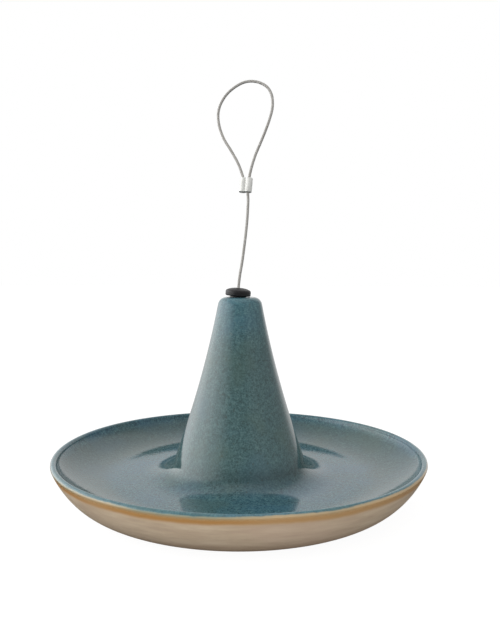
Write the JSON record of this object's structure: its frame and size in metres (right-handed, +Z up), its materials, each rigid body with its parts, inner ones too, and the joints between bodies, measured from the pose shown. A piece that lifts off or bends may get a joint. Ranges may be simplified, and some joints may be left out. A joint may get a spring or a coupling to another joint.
{
  "type": "hanging bird bath",
  "caption": "Round glazed stoneware dish with a hollow cone in its middle, hung by a steel wire rope that passes through a rubber bung and ends in a crimped loop.",
  "frame": {"origin": "middle of the foot ring, on the ground", "axes": "+Z up along the cone's axis; +X to the side towards which the wire leans; +Y towards the back, where the loop leans"},
  "size_m": [0.27, 0.27, 0.3086],
  "materials": {
    "glazed_stoneware": "speckled teal gloss glaze inside, amber edge, satin beige clay outside",
    "black_rubber": "matt moulded",
    "washer_steel": "zinc plated",
    "rope_steel": "stranded wire rope, satin",
    "crimped_aluminium": "satin, crimped"
  },
  "bodies": {
    "bath": {"bath_dish": "glazed_stoneware"},
    "stem": {"stop_ferrule": "crimped_aluminium", "steel_washer": "washer_steel"},
    "bung": {"rubber_bung": "black_rubber"},
    "hanger": {"hanging_wire": "rope_steel", "loop_ferrule": "crimped_aluminium"}
  },
  "joints": [
    {"name": "wire_swivel", "type": "hinge", "parent": "bath", "child": "stem", "pos_m": [-0.0015, 0, 0.142], "axis": [0, 0, 1], "continuous": true},
    {"name": "bung_lift", "type": "slide", "parent": "stem", "child": "bung", "axis": [0.063, 0, 0.998], "range_m": [0, 0.01]},
    {"name": "wire_bend", "type": "hinge", "parent": "stem", "child": "hanger", "pos_m": [0.0022, 0.0017, 0.181], "axis": [0, 1, 0], "range_deg": [-40, 40], "stiffness_Nm_per_rad": 0.05, "deforming": ["hanging_wire"]}
  ]
}
